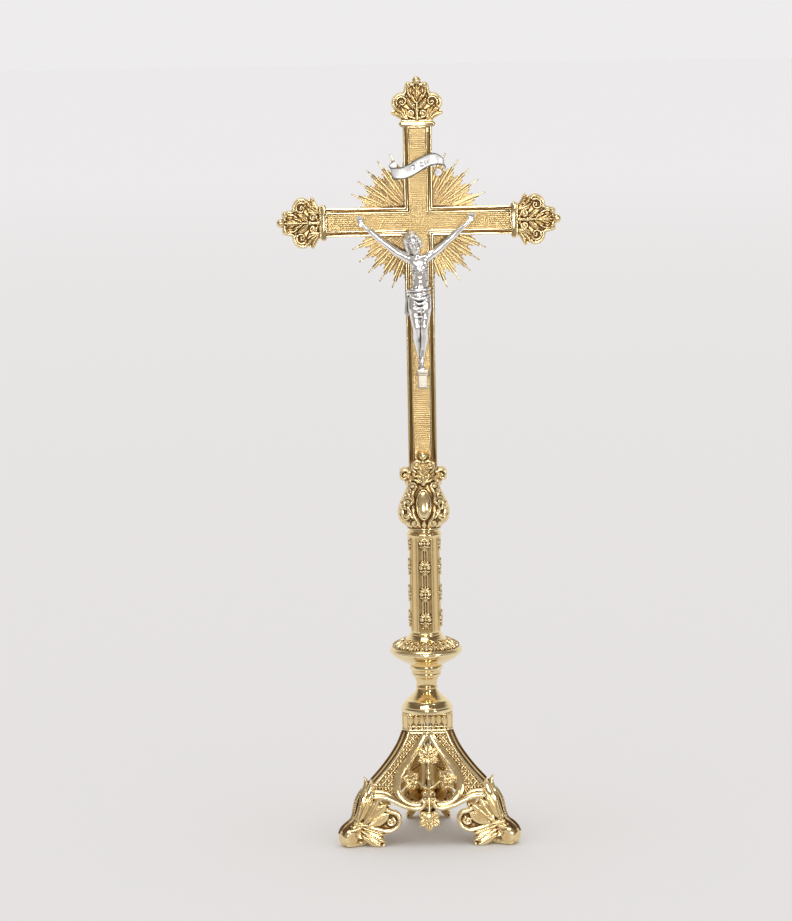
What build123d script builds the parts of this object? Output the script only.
from build123d import *

import os
from math import atan2, cos, degrees, hypot, pi, radians, sin, sqrt

# Altar cross: a brass crucifix on a turned stem and a three-sided pierced base.
# Frame: +Z up, origin on the altar top under the stem's axis, front towards -Y.
# Every function returns the solid of one sub-part in that frame, in millimetres.

# ---------------------------------------------------------------- driving dimensions
TOTAL_HEIGHT = 711.0
CROSSING_Z = 578.0
ARM_SPAN = 263.0
FINIAL_LENGTH = 41.5
FINIAL_THICK = 8.4
FINIAL_BALL_R = 4.1
SHAFT_WIDTH = 27.0
SHAFT_DEPTH = 9.0
FACE_Y = -SHAFT_DEPTH / 2
BACK_Y = SHAFT_DEPTH / 2
COLLAR_HEIGHT = 4.5
COLLAR_PROUD = 2.8
SIDE_REACH = ARM_SPAN / 2 - FINIAL_LENGTH                # crossing to a side arm's end
TOP_REACH = TOTAL_HEIGHT - FINIAL_LENGTH - CROSSING_Z    # crossing to the top arm's end
FIELD_INSET = 6.0
FIELD_DEEP = 1.2
CHANNEL_OUTER = 2.2       # the channel in the border moulding, as insets from the outline
CHANNEL_INNER = 4.6
CHANNEL_DEEP = 0.8

# Levels of the stacked pieces, from the altar top up.
CROWN_BOTTOM_Z = 102.0
CROWN_TOP_Z = 118.6
BELL_TOP_Z = 140.4
BALUSTER_TOP_Z = 162.2
KNOP_RIM_Z = 176.4
KNOP_TOP_Z = 186.0
STEM_BOTTOM_Z = 194.0
STEM_TOP_Z = 284.0
VASE_BOTTOM_Z = 291.2
VASE_LIP_Z = 341.0
SHAFT_SEAT_Z = 325.0      # where the full section of the cross stops inside the vase
TANG_BOTTOM_Z = 302.0
TANG_WIDTH = 16.0
TANG_DEPTH = 7.0

ROD_R = 2.5               # M5 tie rod
ROD_BORE_R = 2.8
STEM_TOP_R = 13.3
STEM_BOTTOM_R = 14.0
STEM_BORE_R = 9.5
RING_R = 16.8
VASE_DEPTH_RATIO = 0.86   # the vase is a little flatter from front to back

# Base: distance of each panel's outer face from the axis, against height.
PANEL_PROFILE = [
    (16.2, 102.0), (17.5, 96.0), (19.2, 90.0), (21.2, 84.5), (23.4, 79.0), (26.1, 73.2), (29.0, 67.5),
    (32.3, 61.7), (35.6, 56.0), (38.0, 51.0), (39.8, 46.0), (41.0, 41.5), (41.8, 37.0), (42.6, 28.0)]
EDGE_POINTS = 11          # how many of those lie above the legs' shoulders
PANEL_THICK = 3.0
CORNER_HALF = 4.8         # half the width of the plain strip down each corner
WING_PROUD = 4.0          # how far an acanthus wing stands off the panel's face
STRIP_THICK = 4.5
FOOT_REACH = 96.0
FOOT_HALF = 8.5
FOOT_HEEL = 68.0          # how near the axis a toe starts
SHIN_HEIGHT = 30.0
CROWN_WALL = 4.0
TURNS = {"front": 0, "right": 120, "left": -120}         # panels: turn about Z
LEG_TURNS = {"left": -60, "right": 60, "rear": 180}      # legs: turn of one that points to -Y

GLORY_R = 67.0
GLORY_RAY_R = 60.3
GLORY_WEB_R = 52.4
GLORY_RAYS = 32
GLORY_THICK = 1.6

PIN_R = 0.8
SCREW_R = 1.5
STUD_R = 2.0
STUD_LENGTH = 12.0


# ---------------------------------------------------------------- helpers
def save(name, shape):
    """Writes one node."""
    os.makedirs("parts", exist_ok=True)
    solids = shape.solids()
    whole = solids[0] if len(solids) == 1 else Compound(children=solids)
    export_step(whole, f"parts/{name}.step")


def joined(pieces):
    """All the pieces fused into one."""
    whole = pieces[0]
    for piece in pieces[1:]:
        whole += piece
    return whole


def plate(points, y_from, y_to):
    """The closed outline (x, z) extruded along Y between two depths."""
    face = Plane.XZ * make_face(Polyline(*points, close=True))
    return Pos(0, y_to, 0) * extrude(face, amount=y_to - y_from)


def mirrored(points):
    """Right-hand (x, z) points, from bottom to top, and their mirror image, as one loop."""
    return points + [(-x, z) for x, z in reversed(points)]


def turned(profile):
    """A solid of revolution about Z from (radius, z) points."""
    return revolve(Plane.XZ * make_face(Polyline(*profile, close=True)), Axis.Z)


def rod(start, end, radius, end_radius=None):
    """A round bar, or a cone, between two points."""
    a, b = Vector(*start), Vector(*end)
    length = (b - a).length
    place = Plane(origin=(a + b) * 0.5, z_dir=b - a)
    if end_radius in (None, radius):
        return place * Cylinder(radius, length)
    return place * Cone(radius, end_radius, length)


def ball(centre, radius):
    """A sphere at a point."""
    return Pos(*centre) * Sphere(radius)


def oval(centre, radii, turn=0):
    """An ellipsoid, turned about Y by some degrees."""
    return Pos(*centre) * (Rot(0, turn, 0) * scale(Sphere(1), by=radii))


def shell_section(points, thick):
    """A curved sheet's section in (y, z): outer face through (distance, z) points, thick inwards."""
    outer = [(-d, z) for d, z in points]
    inner = [(-d + thick, z) for d, z in points]
    top = Line(outer[0], inner[0])
    bottom = Line(outer[-1], inner[-1])
    return Plane.YZ * make_face(Polyline(*outer) + bottom + Polyline(*inner) + top)


# ---------------------------------------------------------------- base
def panel_half_width(distance):
    """Half the width of a face where its outer surface is this far from the axis."""
    return sqrt(3) * distance - 2 * CORNER_HALF


def corner_reach(distance):
    """How far the plain corner strip stands from the axis where a panel stands this far."""
    return 2 * distance - sqrt(3) * CORNER_HALF


def panel_blank():
    """One face of the base before it is pierced, facing -Y."""
    edge = [(panel_half_width(d), z) for d, z in reversed(PANEL_PROFILE[:EDGE_POINTS])]
    low = [(8.0, 32.0), (18.0, 33.5), (28.0, 37.5), (38.0, 42.0), (48.5, 43.0)]
    low.append((panel_half_width(40.3), 44.5))
    outline = plate(mirrored(low + edge), -FOOT_REACH, 0)
    section = shell_section(PANEL_PROFILE, PANEL_THICK)
    sheet = Pos(-FOOT_REACH, 0, 0) * extrude(section, amount=2 * FOOT_REACH)
    return sheet & outline


def spade_opening():
    """The pointed, round-bottomed opening, as a prism along Y."""
    right = [
        (9.8, 40.9), (17.2, 41.7), (23.5, 47.2), (26.0, 54.4), (23.8, 64.6), (14.2, 76.0), (7.5, 85.0),
        (0.5, 93.0)]
    return plate(mirrored(right), -FOOT_REACH, 0)


def leaf(centre, radius, lean, depth=1.4):
    """A five-pointed leaf, tipped back by some degrees about X."""
    points = []
    for i in range(10):
        reach = radius if i % 2 == 0 else 0.62 * radius
        points.append((reach * sin(pi * i / 5), reach * cos(pi * i / 5)))
    return Pos(*centre) * (Rot(-lean, 0, 0) * plate(points, -depth / 2, depth / 2))


def vine():
    """The vine sprig that hangs down the front panel and crosses its opening."""
    route = [(-47.5, 15.0), (-45.0, 32.0), (-41.6, 45.0), (-35.5, 56.0), (-29.0, 67.0), (-22.5, 80.0)]
    pieces = [rod((0, y0, z0), (0, y1, z1), 1.0) for (y0, z0), (y1, z1) in zip(route, route[1:])]
    pieces += [ball((0, y, z), 1.0) for y, z in route[1:-1]]
    pieces.append(leaf((0, -22.0, 83.0), 9.5, 22))
    pieces.append(leaf((0, -45.5, 25.0), 9.5, 8))
    for hand in (-1, 1):
        pieces.append(rod((0, -36.0, 54.0), (hand * 10.0, -34.0, 59.5), 0.9))
        pieces.append(leaf((hand * 15.5, -33.6, 60.0), 8.0, 28))
    pieces.append(ball((0, -29.5, 67.0), 2.0))
    pieces.append(ball((0, -32.5, 61.7), 2.0))
    return joined(pieces)


def leg_wing():
    """The acanthus wing that the left leg spreads over the front panel's plane."""
    outline = [
        (-61.5, 61.0), (-54.0, 59.5), (-51.0, 51.0), (-47.0, 42.5), (-36.0, 39.0), (-37.0, 32.0),
        (-31.0, 30.0), (-27.8, 25.0), (-30.0, 18.5), (-38.0, 13.5), (-42.5, 10.5), (-41.4, 0.0),
        (-80.0, 0.0), (-80.0, 30.0), (-72.0, 45.0)]
    flare = [(44.5, 18.0), (47.5, 8.0), (49.0, 0.0)]
    outer = [(d + WING_PROUD, z) for d, z in PANEL_PROFILE[6:] + flare]
    section = shell_section(outer, WING_PROUD - 0.3)
    sheet = Pos(-FOOT_REACH, 0, 0) * extrude(section, amount=FOOT_REACH)
    return sheet & plate(outline, -FOOT_REACH, 0)


def leg():
    """One leg casting that points to -Y: corner strip, toe and two acanthus wings."""
    curve = [(corner_reach(d), z) for d, z in PANEL_PROFILE[:EDGE_POINTS]]
    curve += [(75.6, 37.0), (77.5, 28.0), (84.0, 20.0), (93.0, 15.5)]
    strip = Pos(-CORNER_HALF, 0, 0) * extrude(shell_section(curve, STRIP_THICK), amount=2 * CORNER_HALF)
    toe = plate(mirrored([(FOOT_HALF, 0), (FOOT_HALF, 13.0), (4.0, 18.0)]), -FOOT_REACH, -FOOT_HEEL)
    shin = Pos(0, -FOOT_HEEL - 4.0, SHIN_HEIGHT / 2) * Box(2 * FOOT_HALF, 10.0, SHIN_HEIGHT)
    wing = Rot(0, 0, 60) * leg_wing()
    body = joined([strip, toe, shin, wing, mirror(wing, about=Plane.YZ)])
    for turn in (60, -60):
        body -= Rot(0, 0, turn) * panel_blank()
    return max(body.solids(), key=lambda solid: solid.volume)


def hexagon(reach, half, z):
    """The base's section at a height: three wide faces and three narrow corner ones."""
    points = []
    for turn in (-150, -30, 90):
        out = radians(turn)
        for side in (-half, half):
            points.append((reach * cos(out) - side * sin(out), reach * sin(out) + side * cos(out)))
    return Pos(0, 0, z) * make_face(Polyline(*points, close=True))


def crown():
    """The hollow collar with a band of leaves, between the panels and the turned stem."""
    lower = corner_reach(PANEL_PROFILE[0][0])
    upper = lower + 0.6
    foot = hexagon(lower, CORNER_HALF, CROWN_BOTTOM_Z)
    outer = loft([foot, hexagon(upper, CORNER_HALF, CROWN_TOP_Z)])
    hollow_foot = hexagon(lower - CROWN_WALL - 0.5, 3.4, CROWN_BOTTOM_Z)
    inner = loft([hollow_foot, hexagon(upper - CROWN_WALL - 0.6, 3.4, CROWN_TOP_Z - CROWN_WALL)])
    return outer - inner - Pos(0, 0, CROWN_TOP_Z) * Cylinder(ROD_BORE_R, 12)


# ---------------------------------------------------------------- turned stem
def bell():
    """The turned bell that sits on the crown."""
    base = CROWN_TOP_Z
    return turned([
        (ROD_BORE_R, base), (24.0, base), (24.4, base + 0.6), (24.4, base + 3.6), (23.6, base + 5.4),
        (20.8, base + 8.8), (20.2, base + 10.6), (14.8, base + 14.6), (12.4, base + 16.8),
        (10.4, base + 19.4), (9.6, BELL_TOP_Z), (ROD_BORE_R, BELL_TOP_Z)])


def baluster():
    """The turned funnel with its rings, under the knop."""
    base = BELL_TOP_Z
    return turned([
        (ROD_BORE_R, base), (9.6, base), (9.6, base + 6.0), (11.6, base + 10.6), (12.8, base + 11.8),
        (14.0, base + 13.2), (14.2, base + 16.8), (15.4, base + 18.4), (15.4, BALUSTER_TOP_Z),
        (ROD_BORE_R, BALUSTER_TOP_Z)])


def knop_lower():
    """The polished underside of the flat knop."""
    return turned([
        (ROD_BORE_R, BALUSTER_TOP_Z), (15.4, BALUSTER_TOP_Z), (25.8, 168.3), (31.0, 172.0), (33.6, 175.2),
        (33.8, KNOP_RIM_Z), (ROD_BORE_R, KNOP_RIM_Z)])


def knop_upper():
    """The chased top of the flat knop."""
    return turned([
        (ROD_BORE_R, KNOP_RIM_Z), (33.8, KNOP_RIM_Z), (33.6, 178.0), (31.9, 180.7), (25.1, 184.6),
        (19.0, KNOP_TOP_Z), (ROD_BORE_R, KNOP_TOP_Z)])


def stem_foot():
    """The polished waisted neck under the stem."""
    base = KNOP_TOP_Z
    return turned([
        (ROD_BORE_R, base), (19.0, base), (19.2, base + 1.8), (17.0, base + 3.2), (15.0, base + 5.6),
        (14.0, STEM_BOTTOM_Z), (ROD_BORE_R, STEM_BOTTOM_Z)])


def stem():
    """The hollow stem."""
    return turned([
        (STEM_BORE_R, STEM_BOTTOM_Z), (STEM_BOTTOM_R, STEM_BOTTOM_Z), (STEM_TOP_R, STEM_TOP_Z),
        (STEM_BORE_R, STEM_TOP_Z)])


def stem_ring():
    """The moulded ring between the stem and the vase."""
    base = STEM_TOP_Z
    return turned([
        (ROD_BORE_R, base), (15.6, base), (RING_R, base + 1.4), (RING_R, base + 3.4), (15.6, base + 4.8),
        (14.4, base + 5.2), (14.4, VASE_BOTTOM_Z), (ROD_BORE_R, VASE_BOTTOM_Z)])


def vase():
    """The vase-shaped socket that takes the foot of the cross, with its crest and volutes."""
    body = turned([
        (0, VASE_BOTTOM_Z), (15.7, VASE_BOTTOM_Z), (18.5, 295.0), (21.9, 299.1), (23.7, 303.3),
        (24.25, 308.6), (23.8, 312.2), (21.7, 318.0), (18.5, 324.0), (16.1, 329.3), (14.9, 335.0),
        (14.9, VASE_LIP_Z), (0, VASE_LIP_Z)])
    body = scale(body, by=(1, VASE_DEPTH_RATIO, 1))
    crest = [(14.9, 334.0), (16.0, VASE_LIP_Z), (12.5, 346.0), (11.5, 350.0), (9.5, 356.0), (4.0, 358.5)]
    volutes = [Pos(hand * 17.3, 0, 342.6) * Rot(90, 0, 0) * Cylinder(4.2, 12.0) for hand in (-1, 1)]
    bosses = [ball((0, face * 7.4, 360.0), 3.6) for face in (-1, 1)]
    body = joined([body, plate(mirrored(crest), -10.5, 10.5)] + volutes + bosses)
    body -= Pos(0, 0, SHAFT_SEAT_Z + 30) * Box(SHAFT_WIDTH, SHAFT_DEPTH, 60)
    tang_height = SHAFT_SEAT_Z - TANG_BOTTOM_Z
    body -= Pos(0, 0, TANG_BOTTOM_Z + tang_height / 2) * Box(TANG_WIDTH, TANG_DEPTH, tang_height)
    return body - Pos(0, 0, VASE_BOTTOM_Z) * Cylinder(ROD_BORE_R, 30)


# ---------------------------------------------------------------- cross
def latin_outline(inset, foot_z):
    """The cross's outline in (x, z), drawn in by an inset, with a foot that isn't inset."""
    half = SHAFT_WIDTH / 2 - inset
    side, top = SIDE_REACH - inset, CROSSING_Z + TOP_REACH - inset
    low, high = CROSSING_Z - half, CROSSING_Z + half
    return mirrored([(half, foot_z), (half, low), (side, low), (side, high), (half, high), (half, top)])


def corpus_pin_places():
    """Where the figure's three pins go in, as (x, z)."""
    return [(-53.5, CROSSING_Z - 2.0), (48.0, CROSSING_Z + 1.0), (0.4, CROSSING_Z - 130.0)]


def titulus_pin_places():
    """Where the titulus is pinned, as (x, z)."""
    return [(-5.0, CROSSING_Z + 49.7), (5.0, CROSSING_Z + 52.9)]


def glory_screw_places():
    """Where the glory is screwed on from the back, as (x, z)."""
    return [(x, CROSSING_Z + z) for x, z in ((-32, 0), (32, 0), (0, 32), (0, -32))]


def arm_ends():
    """Each arm's end as (x, z, turn about Y that points +Z along it)."""
    return {
        "top": (0, CROSSING_Z + TOP_REACH, 0),
        "right": (SIDE_REACH, CROSSING_Z, 90),
        "left": (-SIDE_REACH, CROSSING_Z, -90),
    }


def cross_body():
    """The cast cross: moulded border round a sunk field, plain back, and a tang below."""
    seat = SHAFT_SEAT_Z - 1
    body = plate(latin_outline(0, SHAFT_SEAT_Z), FACE_Y, BACK_Y)
    channel = plate(latin_outline(CHANNEL_OUTER, seat), FACE_Y - 1, FACE_Y + CHANNEL_DEEP)
    body -= channel - plate(latin_outline(CHANNEL_INNER, seat), FACE_Y - 2, FACE_Y + 1)
    body -= plate(latin_outline(FIELD_INSET, seat), FACE_Y - 1, FACE_Y + FIELD_DEEP)
    tang_middle = (TANG_BOTTOM_Z + SHAFT_SEAT_Z) / 2
    body += Pos(0, 0, tang_middle) * Box(TANG_WIDTH, TANG_DEPTH, SHAFT_SEAT_Z - TANG_BOTTOM_Z)
    body -= Pos(0, 0, TANG_BOTTOM_Z + 5) * Cylinder(ROD_R, 14)
    for x, z in corpus_pin_places() + titulus_pin_places():
        body -= rod((x, FACE_Y - 1, z), (x, BACK_Y - 2.5, z), PIN_R)
    for x, z in glory_screw_places():
        body -= rod((x, BACK_Y - 6, z), (x, BACK_Y + 1, z), SCREW_R)
    for x, z, turn in arm_ends().values():
        body -= Pos(x, 0, z) * Rot(0, turn, 0) * Cylinder(STUD_R, 16)
    return body


def collar():
    """A rounded band round an arm's end, its outer face at z = 0."""
    middle = Pos(0, 0, -COLLAR_HEIGHT / 2)
    band = middle * Box(SHAFT_WIDTH + 2 * COLLAR_PROUD, SHAFT_DEPTH + 2 * COLLAR_PROUD, COLLAR_HEIGHT)
    band = fillet(band.edges().filter_by(Axis.X) + band.edges().filter_by(Axis.Y), 1.6)
    return band - middle * Box(SHAFT_WIDTH, SHAFT_DEPTH, COLLAR_HEIGHT + 1)


def finial():
    """The leafy end of an arm, standing on z = 0."""
    right = [
        (14.4, 0.0), (14.4, 3.5), (16.5, 5.6), (23.0, 6.6), (23.7, 9.0), (23.4, 12.0), (21.4, 14.6),
        (22.0, 17.4), (22.4, 20.0), (21.8, 23.4), (19.6, 26.6), (14.0, 28.6), (10.8, 30.4), (11.2, 33.0),
        (10.8, 36.2), (7.4, 38.0), (3.6, 38.0)]
    tip = ball((0, 0, FINIAL_LENGTH - FINIAL_BALL_R), FINIAL_BALL_R)
    body = plate(mirrored(right), -FINIAL_THICK / 2, FINIAL_THICK / 2) + tip
    return body - Cylinder(STUD_R, STUD_LENGTH)


def glory():
    """The rayed disc screwed to the back of the crossing."""
    steps = [(GLORY_WEB_R, 2.0), (GLORY_RAY_R, 1.5), (GLORY_RAY_R, 0.6), (GLORY_R, 0.45)]
    ray = [(radius, -across) for radius, across in steps] + list(reversed(steps))
    points = []
    for i in range(GLORY_RAYS):
        middle = 2 * pi * i / GLORY_RAYS
        for radius, across in ray:
            angle = middle + atan2(across, radius)
            reach = hypot(radius, across)
            points.append((reach * cos(angle), CROSSING_Z + reach * sin(angle)))
    disc = plate(points, BACK_Y, BACK_Y + GLORY_THICK)
    for x, z in glory_screw_places():
        disc -= rod((x, BACK_Y - 1, z), (x, BACK_Y + 4, z), SCREW_R)
    return disc


def glory_screws():
    """Four slotted screws through the glory into the cross."""
    head_y = BACK_Y + GLORY_THICK
    screws = []
    for x, z in glory_screw_places():
        shank = rod((x, BACK_Y - 5, z), (x, head_y, z), SCREW_R)
        head = rod((x, head_y, z), (x, head_y + 1.6, z), 3.0) - Pos(x, head_y + 1.6, z) * Box(6.5, 1.2, 0.8)
        screws.append(shank + head)
    return Compound(children=screws)


def finial_studs():
    """Three threaded studs that join the finials to the arms."""
    stud = Pos(0, 0, -1) * Cylinder(STUD_R, STUD_LENGTH)
    return Compound(children=[Pos(x, 0, z) * Rot(0, turn, 0) * stud for x, z, turn in arm_ends().values()])


# ---------------------------------------------------------------- silver pieces
def titulus():
    """The curling scroll above the figure, which lies off the cross on two spacers."""
    tilt = degrees(atan2(4.6, 14.0))
    band = Box(47.0, 1.4, 11.5)
    curls = [Pos(-23.0, 0.9, 1.5) * Box(7.0, 3.0, 11.5), Pos(20.5, 0.4, -7.0) * Box(9.0, 2.2, 6.0)]
    scroll = Pos(0, FACE_Y - 2.2, CROSSING_Z + 51.3) * Rot(0, -tilt, 0) * joined([band] + curls)
    for x, z in titulus_pin_places():
        scroll -= rod((x, FACE_Y - 9, z), (x, FACE_Y + 2, z), PIN_R)
    return scroll


def titulus_pins():
    """Two shouldered pins that hold the titulus off the cross."""
    pins = []
    for x, z in titulus_pin_places():
        shank = rod((x, BACK_Y - 2.5, z), (x, FACE_Y - 2.9, z), PIN_R)
        shoulder = rod((x, FACE_Y + FIELD_DEEP, z), (x, FACE_Y - 1.5, z), 1.5)
        head = rod((x, FACE_Y - 2.9, z), (x, FACE_Y - 3.7, z), 1.3, 0.7)
        pins.append(joined([shank, shoulder, head]))
    return Compound(children=pins)


def limb(points):
    """A chain of tapering round bars through (x, y, z, radius) points, with rounded joints."""
    pieces = []
    for (x0, y0, z0, r0), (x1, y1, z1, r1) in zip(points, points[1:]):
        pieces.append(rod((x0, y0, z0), (x1, y1, z1), r0, r1))
        pieces.append(ball((x1, y1, z1), r1))
    return joined(pieces)


def corpus():
    """The figure, as plain limbs: outstretched arms, bowed head, loincloth and crossed feet."""
    z = CROSSING_Z
    pieces = [
        limb([(-54.5, -6.8, z - 1.0, 2.0), (-33.0, -10.0, z - 20.0, 2.7), (-11.0, -11.5, z - 31.5, 3.7)]),
        limb([(48.5, -6.8, z + 1.0, 2.0), (26.0, -10.0, z - 19.0, 2.7), (8.5, -11.5, z - 31.0, 3.7)]),
        oval((-55.5, -6.8, z + 2.0), (2.6, 2.0, 4.4)),
        oval((49.0, -6.8, z + 4.0), (2.6, 2.0, 4.4)),
        oval((-1.0, -11.0, z - 36.0), (10.6, 6.2, 9.0)),
        oval((0.0, -10.6, z - 50.0), (8.2, 5.4, 15.0)),
        limb([(-1.0, -12.0, z - 31.0, 3.0), (-4.6, -15.0, z - 22.0, 3.0)]),
        oval((-5.6, -15.5, z - 19.0), (7.4, 7.4, 10.0), -12),
        oval((-0.5, -10.6, z - 70.0), (10.6, 6.2, 12.0)),
        limb([(-5.0, -11.5, z - 70.0, 5.4), (-3.8, -16.5, z - 97.0, 4.2), (-2.4, -8.6, z - 124.0, 2.4)]),
        limb([(5.0, -11.5, z - 70.0, 5.4), (3.2, -17.0, z - 97.0, 4.2), (0.8, -9.0, z - 124.0, 2.4)]),
        limb([(-0.6, -8.6, z - 122.0, 3.2), (-0.2, -10.4, z - 135.0, 3.4)]),
        Pos(-11.0, -9.0, z - 76.0) * Box(4.0, 6.0, 20.0),
    ]
    figure = joined(pieces)
    figure -= Pos(0, FACE_Y + 24.5, z - 60) * Box(160, 50, 220)
    for x, pin_z in corpus_pin_places():
        figure -= rod((x, -30, pin_z), (x, 0, pin_z), PIN_R)
    return figure


def corpus_pins():
    """The three pins through the hands and the feet."""
    heads = (-9.4, -9.4, -14.0)
    pins = []
    for (x, z), head_y in zip(corpus_pin_places(), heads):
        shank = rod((x, BACK_Y - 2.5, z), (x, head_y, z), PIN_R)
        pins.append(shank + rod((x, head_y, z), (x, head_y - 0.9, z), 1.2))
    return Compound(children=pins)


def foot_rest():
    """The sloping block under the feet, with a tongue that drops into the sunk field."""
    left, right = -4.8, 6.4
    top, lip, foot = CROSSING_Z - 138.6, CROSSING_Z - 142.0, CROSSING_Z - 155.5
    profile = [(FACE_Y, top), (-12.0, top - 1.4), (-12.4, lip), (-7.0, foot), (FACE_Y, foot)]
    side = Plane.YZ * make_face(Polyline(*profile, close=True))
    wedge = Pos(left, 0, 0) * extrude(side, amount=right - left)
    field_edge = SHAFT_WIDTH / 2 - FIELD_INSET
    corners = [(left, foot), (field_edge, foot), (field_edge, top), (left, top)]
    tongue = plate(corners, FACE_Y, FACE_Y + FIELD_DEEP)
    return wedge + tongue


# ---------------------------------------------------------------- tie rod
def tie_rod():
    """The threaded rod that draws the stem together, from the crown into the tang."""
    bottom, top = CROWN_TOP_Z - 16.0, TANG_BOTTOM_Z + 11.0
    return Pos(0, 0, (bottom + top) / 2) * Cylinder(ROD_R, top - bottom)


def tie_washer():
    """The washer under the crown's top plate."""
    return Pos(0, 0, CROWN_TOP_Z - 4.7) * (Cylinder(6.5, 1.4) - Cylinder(ROD_BORE_R, 3))


def tie_nut():
    """The nut that tightens the whole stem."""
    nut = extrude(RegularPolygon(4.0, 6, major_radius=False), amount=5.0)
    return Pos(0, 0, CROWN_TOP_Z - 5.4 - 5.0) * (nut - Cylinder(ROD_R, 20))


# ---------------------------------------------------------------- assembly
def main():
    one_panel = panel_blank() - spade_opening()
    one_vine, one_leg = vine() - one_panel, leg()
    for side, turn in TURNS.items():
        save(f"panel_{side}", Rot(0, 0, turn) * one_panel)
        save(f"vine_{side}", Rot(0, 0, turn) * one_vine)
    for place, turn in LEG_TURNS.items():
        save(f"leg_{place}", Rot(0, 0, turn) * one_leg)
    for arm, (x, z, turn) in arm_ends().items():
        at = Pos(x, 0, z) * Rot(0, turn, 0)
        save(f"collar_{arm}", at * collar())
        save(f"finial_{arm}", at * finial())
    singles = (
        crown, bell, baluster, knop_lower, knop_upper, stem_foot, stem, stem_ring, vase, cross_body, glory,
        glory_screws, finial_studs, titulus, titulus_pins, corpus, corpus_pins, foot_rest, tie_rod,
        tie_washer, tie_nut)
    for make in singles:
        save(make.__name__, make())


main()
